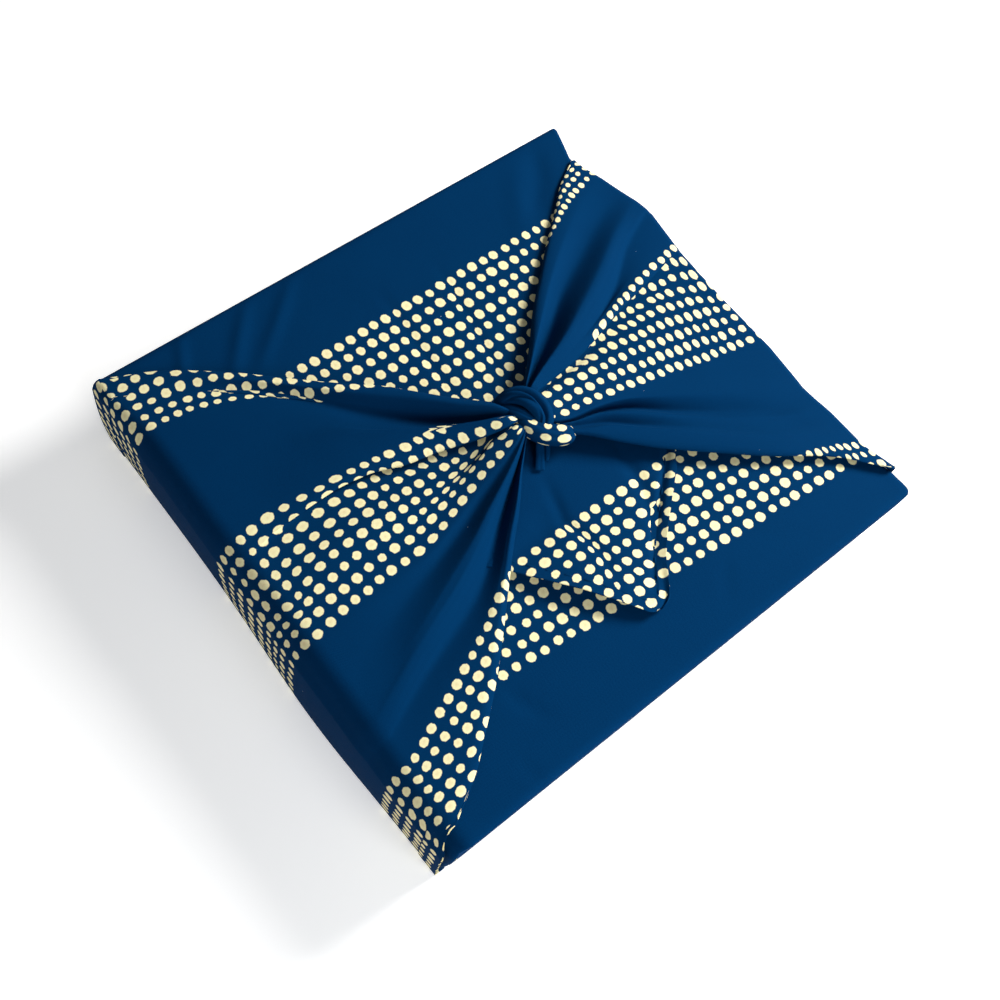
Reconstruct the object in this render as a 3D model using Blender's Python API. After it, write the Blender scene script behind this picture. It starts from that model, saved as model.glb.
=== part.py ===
# Furoshiki wrap: one square of printed cotton folded over a flat parcel and tied once on top.
# Metres, +Z up.  +X runs along the two tied corners, +Y towards the corner that is folded over last.
# The origin is under the middle of the parcel, on the face that it rests on.
import math

import bmesh
import bpy
import numpy as np

for thing in list(bpy.data.objects):
    bpy.data.objects.remove(thing, do_unlink=True)

MM = 0.001

# Driving dimensions
PARCEL_LENGTH = 0.2350          # along X, over the cloth
PARCEL_WIDTH = 0.2246           # along Y, over the cloth
PARCEL_HEIGHT = 0.0420          # flat top of the parcel, under the gathers
CORNER_RADIUS = 0.0030          # upright corners of the wrapped box
EDGE_RADIUS = 0.0030            # cloth turning over the top edges
WALL_BULGE = 0.0008             # how far the slack walls belly out
FLAP_STEP = 0.0013              # the last folded flap above the one under it
WALL_STEP = 0.0012              # the gathers' walls outside the body
SUNK = 0.0050                   # how far every layer reaches into the body
KNOT_CENTRE = (0.0062, 0.0005)

CLOTH_COLOUR = (0.004, 0.040, 0.130, 1.0)
CLOTH_ROUGHNESS = 0.85

# Fold lines of the gather tied from -X, from its lower folded edge to its upper one.
# Share of the way from the wall to the knot for the five columns of each table:
LEFT_STATIONS = (0.0, 0.19, 0.45, 0.756, 1.0)
LEFT_KNOT_X = -0.002
#    y (mm) at the stations                height above the parcel's top (mm)
LEFT_FOLDS = (
    ((-108.5, -93.8, -70.0, -35.5, -9.0), (0.8, 1.3, 2.0, 3.0, 6.0)),     # lower folded edge
    ((-103.0, -88.0, -64.5, -32.0, -8.2), (1.0, 1.8, 3.2, 5.2, 9.5)),     # crest of its roll
    ((-70.0, -62.0, -47.0, -28.5, -7.6), (0.8, 1.1, 1.4, 2.2, 8.5)),      # valley
    ((-62.5, -55.4, -41.5, -25.0, -7.2), (0.9, 1.9, 4.4, 7.0, 10.5)),     # sharp main ridge
    ((-57.0, -50.5, -38.0, -22.8, -6.6), (1.0, 2.0, 4.8, 7.6, 11.0)),
    ((-45.0, -39.9, -28.5, -17.3, -5.6), (0.8, 1.1, 1.7, 3.4, 9.0)),      # shallow valley
    ((-31.0, -29.0, -23.5, -13.4, -4.6), (0.9, 1.7, 3.0, 5.0, 10.5)),
    ((0.0, 0.0, 2.0, 1.0, -1.0), (0.8, 1.8, 3.0, 4.6, 10.0)),
    ((20.5, 21.5, 19.8, 10.6, 1.8), (0.8, 1.3, 1.7, 2.6, 8.0)),           # tuck
    ((25.0, 25.4, 23.2, 14.4, 3.8), (1.0, 2.3, 4.0, 6.4, 11.0)),          # ridge above the tuck
    ((52.0, 46.0, 37.0, 20.5, 5.4), (0.9, 2.0, 3.8, 5.6, 10.0)),
    ((97.0, 89.0, 66.0, 29.5, 7.6), (0.8, 1.4, 1.4, 1.8, 7.5)),           # deep trough
    ((104.0, 97.0, 74.0, 38.5, 10.6), (1.2, 2.8, 5.0, 8.0, 11.0)),        # upper roll
    ((111.5, 101.0, 79.0, 44.6, 13.7), (0.7, 1.1, 2.0, 4.0, 8.0)),        # upper folded edge
)

# The same for the gather tied from +X.
RIGHT_STATIONS = (0.0, 0.176, 0.431, 0.706, 1.0)
RIGHT_KNOT_X = 0.014
RIGHT_FOLDS = (
    ((-101.0, -82.5, -64.5, -41.5, -11.0), (1.2, 2.3, 3.8, 6.0, 7.5)),      # lower folded edge
    ((-86.0, -72.0, -54.0, -32.0, -8.8), (1.0, 3.0, 5.5, 7.6, 8.5)),
    ((-68.0, -62.0, -47.2, -24.8, -7.5), (0.9, 1.7, 3.0, 4.6, 8.2)),        # valley
    ((-62.0, -57.5, -42.6, -23.0, -6.8), (1.0, 2.8, 5.2, 7.8, 9.0)),        # thin ridge
    ((-50.5, -46.3, -32.5, -19.2, -6.2), (0.9, 1.6, 2.8, 4.4, 8.4)),
    ((-40.6, -34.8, -24.8, -15.5, -5.6), (1.0, 2.6, 4.8, 7.6, 9.5)),        # broad ridge
    ((-24.4, -20.1, -13.6, -8.6, -4.8), (0.9, 1.8, 3.2, 5.6, 9.0)),
    ((4.5, 3.5, 3.0, 1.4, -1.5), (0.8, 1.6, 3.0, 5.6, 9.5)),
    ((25.5, 22.5, 14.8, 7.9, 0.4), (0.8, 1.3, 1.8, 2.8, 8.0)),              # tuck
    ((32.6, 28.0, 19.8, 10.8, 2.0), (1.0, 2.8, 4.8, 7.0, 9.0)),             # ridge above the tuck
    ((47.5, 41.6, 27.8, 14.8, 3.4), (0.9, 1.7, 2.3, 3.4, 8.0)),             # valley
    ((55.0, 46.0, 33.6, 19.6, 5.2), (1.2, 4.0, 6.5, 8.6, 10.0)),            # main ridge
    ((67.0, 60.5, 47.2, 29.0, 6.6), (0.8, 1.0, 1.2, 1.8, 7.5)),             # deep valley
    ((82.0, 74.4, 57.6, 35.0, 8.0), (1.0, 2.4, 3.6, 5.2, 8.5)),             # roll of the upper edge
    ((92.0, 84.3, 64.0, 39.6, 9.4), (0.7, 1.1, 1.8, 3.0, 6.5)),             # upper folded edge
)

# Top edge of the +X wall, drawn in unevenly by the gather: y (mm), x (mm)
RIGHT_EDGE = (
    (-112.0, 117.5), (-101.0, 117.2), (-86.0, 113.5), (-68.0, 113.8), (-52.0, 112.6),
    (-30.0, 115.0), (0.0, 115.2), (32.0, 117.0), (49.0, 119.8), (78.0, 115.0), (92.0, 111.0),
    (112.0, 117.2),
)
LEFT_EDGE = (
    (-112.0, 117.2), (-90.0, 117.6), (-40.0, 117.0), (0.0, 116.4), (30.0, 117.6),
    (70.0, 117.0), (112.0, 117.2),
)

# Outline of the flap folded over last, its rounded tip first:
# y (mm), x of the left edge, x of the right edge, lift of left edge, middle and right edge (mm)
OVER_FLAP = (
    (-87.0, -2.4, 0.6, 1.6, 1.6, 1.4),
    (-86.0, -4.6, 3.6, 1.8, 1.8, 1.4),
    (-83.0, -6.8, 7.6, 2.2, 2.0, 1.2),
    (-74.0, -13.4, 15.6, 2.6, 2.0, 0.8),
    (-66.0, -19.4, 21.4, 2.8, 1.8, 0.6),
    (-58.0, -25.4, 33.0, 2.8, 1.4, 0.5),
    (-49.0, -31.8, 43.0, 2.2, 1.0, 0.4),
    (-40.0, -40.0, 50.0, 1.2, 0.6, 0.2),
    (0.0, -84.0, 90.0, 0.0, 0.0, 0.0),
    (28.0, -113.0, 113.0, 0.0, 0.0, 0.0),
    (108.6, -115.0, 115.0, 0.0, 0.0, 0.0),
)

# Knot: the two bands that cross on it, as x, y, height above the parcel's top, half width and
# half thickness of the flattened roll (mm)
UPPER_BAND = (
    (-6.5, 11.5, 4.0, 2.6, 2.0),
    (-3.0, 12.2, 8.0, 3.6, 2.4),
    (2.0, 11.4, 12.0, 4.6, 2.8),
    (7.4, 8.2, 14.4, 5.2, 3.0),
    (11.0, 2.6, 14.8, 5.2, 3.0),
    (11.6, -3.6, 12.6, 4.8, 2.8),
    (10.2, -8.8, 9.0, 4.0, 2.4),
    (8.6, -11.6, 5.0, 2.8, 2.0),
)
LOWER_BAND = (
    (-9.0, 4.4, 6.0, 4.2, 2.6),
    (-4.2, 2.4, 8.6, 5.2, 3.2),
    (0.8, -1.6, 10.4, 5.6, 3.4),
    (5.0, -7.0, 10.8, 6.0, 3.6),
    (8.8, -11.6, 9.6, 6.4, 3.8),
    (11.6, -14.4, 8.0, 5.6, 3.6),
    (13.6, -16.2, 6.8, 3.0, 2.2),
)
# Short end hanging from the knot: x, y, height, half width, half thickness (mm)
HANGING_END = (
    (4.6, -9.0, 7.0, 2.2, 0.9),
    (2.4, -12.4, 5.4, 2.2, 0.8),
    (0.4, -15.6, 3.0, 2.1, 0.7),
    (-1.2, -18.0, 1.2, 2.0, 0.7),
)


def smooth_through(stations, values, where):
    """Monotone cubic through the values, so that a ridge or valley never overshoots."""
    stations = np.asarray(stations, float)
    values = np.asarray(values, float)
    steps = np.diff(stations)
    slopes = np.diff(values, axis=0) / steps.reshape((-1,) + (1,) * (values.ndim - 1))
    tangents = np.zeros_like(values)
    product = slopes[:-1] * slopes[1:]
    total = slopes[:-1] + slopes[1:]
    tangents[1:-1] = np.where(product > 0, 2 * product / np.where(total == 0, 1, total), 0)
    tangents[0] = slopes[0]
    tangents[-1] = slopes[-1]
    index = np.clip(np.searchsorted(stations, where, side="right") - 1, 0, len(steps) - 1)
    part = ((where - stations[index]) / steps[index]).reshape((-1,) + (1,) * (values.ndim - 1))
    step = steps[index].reshape(part.shape)
    return (
        (1 + 2 * part) * (1 - part) ** 2 * values[index]
        + part * (1 - part) ** 2 * step * tangents[index]
        + part**2 * (3 - 2 * part) * values[index + 1]
        + part**2 * (part - 1) * step * tangents[index + 1]
    )


def solid_from_grids(name, outer, inner):
    """Closes an outer and an inner grid of the same size into one solid."""
    rows, columns = outer.shape[:2]
    mesh = bmesh.new()
    top = [[mesh.verts.new(outer[i, j]) for j in range(columns)] for i in range(rows)]
    low = [[mesh.verts.new(inner[i, j]) for j in range(columns)] for i in range(rows)]
    for i in range(rows - 1):
        for j in range(columns - 1):
            mesh.faces.new((top[i][j], top[i + 1][j], top[i + 1][j + 1], top[i][j + 1]))
            mesh.faces.new((low[i][j], low[i][j + 1], low[i + 1][j + 1], low[i + 1][j]))
    rim = [(i, 0) for i in range(rows)]
    rim += [(rows - 1, j) for j in range(1, columns)]
    rim += [(i, columns - 1) for i in range(rows - 2, -1, -1)]
    rim += [(0, j) for j in range(columns - 2, 0, -1)]
    for (a, b), (c, d) in zip(rim, rim[1:] + rim[:1]):
        mesh.faces.new((top[c][d], top[a][b], low[a][b], low[c][d]))
    return finished(name, mesh)


def finished(name, mesh):
    bmesh.ops.triangulate(mesh, faces=mesh.faces[:])
    bmesh.ops.recalc_face_normals(mesh, faces=mesh.faces[:])
    data = bpy.data.meshes.new(name)
    mesh.to_mesh(data)
    mesh.free()
    thing = bpy.data.objects.new(name, data)
    bpy.context.collection.objects.link(thing)
    return thing


def drawn_in(side, y, share):
    """How far the gather pulls an X wall in or out at y, all at the top and none at the base."""
    edge = RIGHT_EDGE if side > 0 else LEFT_EDGE
    edge_y = np.array([row[0] for row in edge]) * MM
    edge_x = np.array([row[1] for row in edge]) * MM
    return (np.interp(y, edge_y, edge_x) - PARCEL_LENGTH / 2) * share**1.5


def wrapped_body():
    """The parcel under the gathers: flat base and top, upright corners, slack walls."""
    half_length = PARCEL_LENGTH / 2 - WALL_STEP
    half_width = PARCEL_WIDTH / 2
    outline = []
    for sign_x, sign_y, first in ((1, 1, 0), (-1, 1, 90), (-1, -1, 180), (1, -1, 270)):
        for k in range(5):
            angle = math.radians(first + 22.5 * k)
            outline.append((
                sign_x * (half_length - CORNER_RADIUS) + CORNER_RADIUS * math.cos(angle),
                sign_y * (half_width - CORNER_RADIUS) + CORNER_RADIUS * math.sin(angle),
            ))
    outline = np.array(outline)
    ring = []
    for start, end in zip(outline, np.roll(outline, -1, axis=0)):
        pieces = 12 if np.linalg.norm(end - start) > 0.02 else 1
        for k in range(pieces):
            ring.append(start + (end - start) * k / pieces)
    ring = np.array(ring)
    height = PARCEL_HEIGHT
    levels = (
        (0.0, 2.0), (0.6 * MM, 0.6), (2.0 * MM, 0.0), (0.3 * height, -0.8 * WALL_BULGE / MM),
        (0.6 * height, -WALL_BULGE / MM), (0.84 * height, -0.6 * WALL_BULGE / MM),
        (height - EDGE_RADIUS, 0.0), (height - 0.3 * EDGE_RADIUS, 0.9), (height, 3.0),
    )
    mesh = bmesh.new()
    rings = []
    for z, inset in levels:
        loop = []
        for x, y in ring:
            side = math.copysign(1.0, x)
            pull = drawn_in(side, y, z / height) if abs(x) > 0.11 else 0.0
            loop.append(mesh.verts.new((
                x * (1 - inset * MM / half_length) + side * pull,
                y * (1 - inset * MM / half_width),
                z,
            )))
        rings.append(loop)
    for lower, upper in zip(rings, rings[1:]):
        for a, b, c, d in zip(lower, lower[1:] + lower[:1], upper[1:] + upper[:1], upper):
            mesh.faces.new((a, b, c, d))
    mesh.faces.new(rings[0][::-1])
    mesh.faces.new(rings[-1])
    return finished("body", mesh)


def gather(name, side, folds, stations, knot_x):
    """One tied corner: up its wall, over the edge, and in folds to the knot."""
    lines = np.arange(len(folds), dtype=float)
    across = np.linspace(0, lines[-1], 2 * len(folds) - 1)
    along = np.array((0.0, 0.03, 0.08, 0.14, 0.21, 0.3, 0.4, 0.5, 0.6, 0.7, 0.8, 0.88, 0.95, 1.0))
    table_y = smooth_through(stations, np.array([row[0] for row in folds]).T, along) * MM
    table_z = smooth_through(stations, np.array([row[1] for row in folds]).T, along) * MM
    y = smooth_through(lines, table_y.T, across).T
    z = smooth_through(lines, table_z.T, across).T
    wall_x = PARCEL_LENGTH / 2 + drawn_in(side, y[0], 1.0)
    ripple = z[4] - z[4].mean()
    outer = []
    inner = []
    for share, bulge in ((0.012, 0.0), (0.3, 0.8), (0.6, 1.0), (0.84, 0.6)):
        level = share * PARCEL_HEIGHT
        reach = PARCEL_LENGTH / 2 + drawn_in(side, y[0], share) + WALL_BULGE * bulge
        reach = reach + 0.4 * ripple * share**2
        spread = y[0] * (1.0 - 0.012 * (1 - share))
        outer.append(np.stack([side * reach, spread, np.full_like(spread, level)], axis=1))
        inner.append(np.stack([
            np.full_like(spread, side * (PARCEL_LENGTH / 2 - SUNK - 0.002)),
            spread * 0.955,
            np.full_like(spread, 0.002 + level * (PARCEL_HEIGHT - SUNK - 0.003) / PARCEL_HEIGHT),
        ], axis=1))
    for angle in (0.0, 35.0, 65.0):
        turn = math.radians(angle)
        reach = wall_x - EDGE_RADIUS * (1 - math.cos(turn)) + 0.3 * ripple
        level = PARCEL_HEIGHT - EDGE_RADIUS * (1 - math.sin(turn)) + z[0]
        outer.append(np.stack([side * reach, y[0], level], axis=1))
        inner.append(np.stack([
            np.full_like(level, side * (PARCEL_LENGTH / 2 - SUNK - 0.002 - angle * 4e-6)),
            y[0] * 0.955,
            np.full_like(level, PARCEL_HEIGHT - SUNK - 0.001 + angle * 4e-6),
        ], axis=1))
    for i, share in enumerate(along):
        top_x = (wall_x - EDGE_RADIUS) * (1 - share) + side * knot_x * share
        level = PARCEL_HEIGHT + z[i]
        outer.append(np.stack([side * top_x, y[i], level], axis=1))
        inner.append(np.stack([
            side * (top_x * 0.93 - 0.0003),
            y[i] * 0.955,
            np.full_like(level, PARCEL_HEIGHT - SUNK),
        ], axis=1))
    return solid_from_grids(name, np.array(outer), np.array(inner))


def over_flap():
    """The flap folded over last, from the edge of the +Y wall to its lifted tip."""
    table = np.array(OVER_FLAP)
    rows = np.concatenate([
        np.array((-87.0, -86.0, -83.0, -79.0)), np.linspace(-74.0, -40.0, 8),
        np.linspace(-30.0, 108.6, 12),
    ])
    left = np.interp(rows, table[:, 0], table[:, 1]) * MM
    right = np.interp(rows, table[:, 0], table[:, 2]) * MM
    lift = [np.interp(rows, table[:, 0], table[:, k]) * MM for k in (3, 4, 5)]
    across = np.linspace(0, 1, 13)
    outer = np.zeros((len(rows), len(across), 3))
    inner = np.zeros_like(outer)
    for i, y in enumerate(rows * MM):
        x = left[i] + (right[i] - left[i]) * across
        rise = np.interp(across, (0.0, 0.5, 0.86, 1.0),
                         (lift[0][i], lift[1][i], 0.2 * lift[2][i], lift[2][i]))
        outer[i] = np.stack([x, np.full_like(x, y), PARCEL_HEIGHT + FLAP_STEP + rise], axis=1)
        inner[i] = np.stack([x * 0.985, np.full_like(x, y * 0.985),
                             np.full_like(x, PARCEL_HEIGHT - SUNK)], axis=1)
    return solid_from_grids("over_flap", outer, inner)


def over_flap_wall():
    """The +Y wall of the same flap and the cloth turning over the edge."""
    half = PARCEL_WIDTH / 2
    path = [(half + 0.0006, 0.0006), (half + 0.0006 + WALL_BULGE, 0.5 * PARCEL_HEIGHT)]
    for angle in (0.0, 30.0, 60.0, 90.0):
        turn = math.radians(angle)
        path.append((half + 0.0006 - EDGE_RADIUS * (1 - math.cos(turn)),
                     PARCEL_HEIGHT + FLAP_STEP - EDGE_RADIUS * (1 - math.sin(turn))))
    path.append((half - 0.008, PARCEL_HEIGHT + FLAP_STEP))
    across = np.linspace(-0.1158, 0.1158, 13)
    outer = np.array([[(x, y, z) for x in across] for y, z in path])
    inner = np.array([
        [(x * 0.985, half - 0.006 - 0.0002 * i, 0.002 + min(z, PARCEL_HEIGHT) * 0.8 + 0.0001 * i)
         for x in across]
        for i, (y, z) in enumerate(path)
    ])
    return solid_from_grids("over_flap_wall", outer, inner)


def band(name, table, fluted):
    """A flattened roll of cloth along a path, closed and rounded at both ends."""
    table = np.array(table)
    knots = np.arange(len(table), dtype=float)
    where = np.linspace(0, knots[-1], 3 * len(table) - 2)
    points = smooth_through(knots, table, where) * MM
    centre = points[:, :3] + np.array((0, 0, PARCEL_HEIGHT))
    mesh = bmesh.new()
    rings = []
    sides = 16
    for i, middle in enumerate(centre):
        ahead = centre[min(i + 1, len(centre) - 1)] - centre[max(i - 1, 0)]
        ahead /= np.linalg.norm(ahead)
        across = np.cross(ahead, (0, 0, 1))
        across /= np.linalg.norm(across)
        up = np.cross(across, ahead)
        wide, thick = points[i, 3], points[i, 4]
        ring = []
        for k in range(sides):
            angle = 2 * math.pi * k / sides
            flute = 1 - fluted * max(0.0, math.cos(3 * (angle - math.pi / 2)))
            place = middle + across * wide * math.cos(angle) + up * thick * math.sin(angle) * flute
            ring.append(mesh.verts.new(place))
        rings.append(ring)
    for one, other in zip(rings, rings[1:]):
        for k in range(sides):
            mesh.faces.new((one[k], one[(k + 1) % sides], other[(k + 1) % sides], other[k]))
    for ring, beyond in ((rings[0], centre[0] - centre[1]), (rings[-1], centre[-1] - centre[-2])):
        middle = np.mean([vert.co for vert in ring], axis=0)
        tip = mesh.verts.new(middle + beyond / np.linalg.norm(beyond) * 0.0008)
        for k in range(sides):
            mesh.faces.new((ring[k], ring[(k + 1) % sides], tip))
    return finished(name, mesh)


def knot_core():
    """The crossed layers inside the knot, seen between its bands."""
    mesh = bmesh.new()
    bmesh.ops.create_uvsphere(mesh, u_segments=20, v_segments=10, radius=1.0)
    for vert in mesh.verts:
        vert.co.x = KNOT_CENTRE[0] + vert.co.x * 0.0120
        vert.co.y = KNOT_CENTRE[1] + vert.co.y * 0.0115
        vert.co.z = PARCEL_HEIGHT + 0.0050 + vert.co.z * 0.0075
    return finished("knot_core", mesh)


def join(base, others):
    for other in others:
        union = base.modifiers.new("union", "BOOLEAN")
        union.operation = "UNION"
        union.solver = "EXACT"
        union.object = other
        bpy.context.view_layer.objects.active = base
        bpy.ops.object.modifier_apply(modifier=union.name)
        bpy.data.objects.remove(other, do_unlink=True)


cloth = wrapped_body()
join(cloth, [
    over_flap_wall(),
    over_flap(),
    gather("left_gather", -1, LEFT_FOLDS, LEFT_STATIONS, LEFT_KNOT_X),
    gather("right_gather", 1, RIGHT_FOLDS, RIGHT_STATIONS, RIGHT_KNOT_X),
    knot_core(),
    band("hanging_end", HANGING_END, 0.0),
    band("lower_band", LOWER_BAND, 0.10),
    band("upper_band", UPPER_BAND, 0.28),
])
cloth.name = "furoshiki_cloth"
cloth.data.name = "furoshiki_cloth"

cotton = bpy.data.materials.new("navy_cotton")
cotton.use_nodes = True
shader = cotton.node_tree.nodes["Principled BSDF"]
shader.inputs["Base Color"].default_value = CLOTH_COLOUR
shader.inputs["Roughness"].default_value = CLOTH_ROUGHNESS
shader.inputs["Metallic"].default_value = 0.0
cloth.data.materials.append(cotton)
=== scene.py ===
import math

import bmesh
import bpy
import numpy as np
from mathutils import Matrix, Vector


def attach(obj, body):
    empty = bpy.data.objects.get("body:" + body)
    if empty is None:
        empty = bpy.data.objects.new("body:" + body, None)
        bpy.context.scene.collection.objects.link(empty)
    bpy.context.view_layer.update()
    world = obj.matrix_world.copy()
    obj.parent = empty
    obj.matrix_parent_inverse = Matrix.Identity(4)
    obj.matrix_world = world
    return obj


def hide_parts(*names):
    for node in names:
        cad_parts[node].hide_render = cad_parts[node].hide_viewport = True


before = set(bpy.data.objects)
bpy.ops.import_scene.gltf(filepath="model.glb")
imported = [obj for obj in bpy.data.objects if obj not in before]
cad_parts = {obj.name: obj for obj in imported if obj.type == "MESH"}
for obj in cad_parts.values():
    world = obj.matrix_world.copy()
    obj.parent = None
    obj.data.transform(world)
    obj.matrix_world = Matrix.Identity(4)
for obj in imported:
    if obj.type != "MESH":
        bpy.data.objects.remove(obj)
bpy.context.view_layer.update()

# ---- Table, light and camera -------------------------------------------------------------
# The wrap lies on a plain pale table.  A window to the right lights it low across the folds,
# and a doorway in front and the ceiling fill the shadows a little.

floor_mesh = bmesh.new()
bmesh.ops.create_grid(floor_mesh, x_segments=1, y_segments=1, size=3.0)
floor_data = bpy.data.meshes.new("table_top")
floor_mesh.to_mesh(floor_data)
floor_mesh.free()
floor = bpy.data.objects.new("table_top", floor_data)
bpy.context.collection.objects.link(floor)
pale = bpy.data.materials.new("pale_table")
pale.use_nodes = True
pale.node_tree.nodes["Principled BSDF"].inputs["Base Color"].default_value = (0.86, 0.86, 0.87, 1)
pale.node_tree.nodes["Principled BSDF"].inputs["Roughness"].default_value = 0.9
# a little glow of its own keeps the table pale in the shade
pale.node_tree.nodes["Principled BSDF"].inputs["Emission Color"].default_value = (1, 1, 1, 1)
pale.node_tree.nodes["Principled BSDF"].inputs["Emission Strength"].default_value = 0.42
floor_data.materials.append(pale)


def soft_light(name, towards, distance, size, watts, colour):
    lamp = bpy.data.lights.new(name, "AREA")
    lamp.shape = "DISK"
    lamp.size = size
    lamp.energy = watts
    lamp.color = colour
    lamp_object = bpy.data.objects.new(name, lamp)
    lamp_object.location = Vector(towards).normalized() * distance
    lamp_object.rotation_euler = Vector(towards).to_track_quat("Z", "Y").to_euler()
    bpy.context.collection.objects.link(lamp_object)


soft_light("window", (0.80, -0.12, 0.56), 0.90, 0.36, 12.5, (1.0, 0.985, 0.95))
soft_light("doorway", (-0.20, -0.90, 0.55), 0.58, 0.34, 1.8, (0.97, 0.99, 1.0))
soft_light("ceiling", (0.20, 0.50, 1.60), 1.6, 1.0, 1.0, (0.95, 0.98, 1.0))
room = bpy.data.worlds.new("room")
room.use_nodes = True
room.node_tree.nodes["Background"].inputs["Color"].default_value = (0.92, 0.96, 1.0, 1)
room.node_tree.nodes["Background"].inputs["Strength"].default_value = 0.11
bpy.context.scene.world = room
bpy.context.scene.view_settings.view_transform = "Standard"

camera_data = bpy.data.cameras.new("camera")
camera_data.lens = 43.2
camera_data.sensor_width = 36.0
camera_data.clip_start = 0.01
camera_data.clip_end = 20.0
camera = bpy.data.objects.new("camera", camera_data)
camera.matrix_world = Matrix.Translation((-0.1806, -0.1443, 0.4506)) @ Matrix((
    (0.77332, 0.52907, -0.34937),
    (-0.62457, 0.73046, -0.27629),
    (0.10903, 0.43187, 0.89532),
)).to_4x4()
bpy.context.collection.objects.link(camera)
bpy.context.scene.camera = camera

# ---- Printed cotton ----------------------------------------------------------------------
# One 50 cm square of plain-weave cotton, dyed navy and screen-printed with bands of nine rows
# of cream dots, 110 mm from band to band.  Every piece carries its place in the flat cloth, in
# metres, so the print runs on through every fold.

BAND_GAP = 0.110
ROWS_EACH_SIDE = 4              # of a band's middle row
DOT_GAP = 0.00605
# the dots' least radius, how much larger some are, how far they drift and how rough and soft
# their edges are, as shares of the gap
DOT_RADIUS, DOT_SPREAD, DOT_DRIFT, DOT_ROUGH, DOT_SOFT = 0.262, 0.095, 0.13, 0.11, 0.036
THREAD_GAP = 0.00032


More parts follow.
